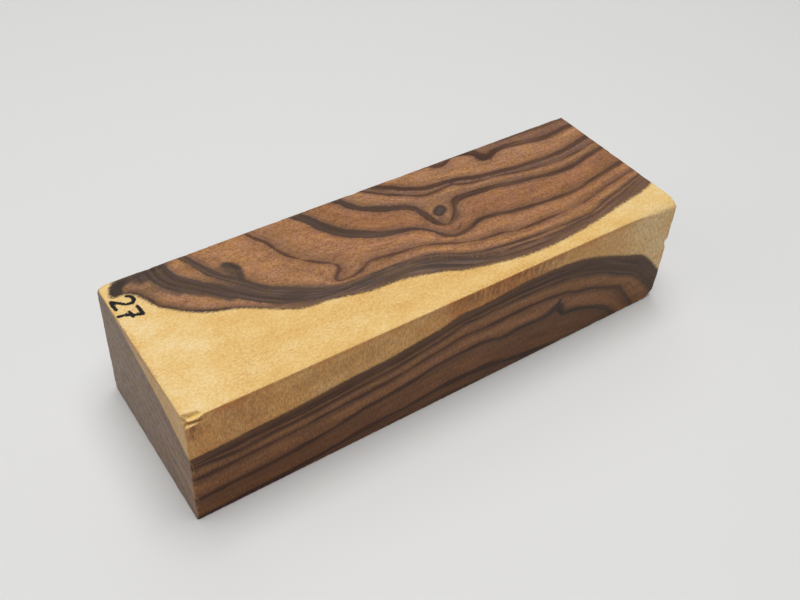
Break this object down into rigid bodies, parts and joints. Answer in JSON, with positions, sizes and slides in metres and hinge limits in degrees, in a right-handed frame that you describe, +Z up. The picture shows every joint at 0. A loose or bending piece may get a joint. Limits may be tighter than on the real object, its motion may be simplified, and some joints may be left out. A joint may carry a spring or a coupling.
{
  "type": "ironwood block",
  "caption": "Sawn rectangular block of desert ironwood, dark figured heartwood with pale sapwood along one edge, a blank for carving or knife handles.",
  "frame": {"origin": "middle of the underside, on the surface that the block rests on", "axes": "+X along the grain to the right-hand end, +Y to the back, away from the sapwood corner, +Z up"},
  "size_m": [0.1304, 0.043, 0.031],
  "materials": {
    "ironwood": "sawn and lightly smoothed, dry, no finish"
  },
  "bodies": {
    "root": {"ironwood_block": "ironwood"}
  },
  "joints": []
}
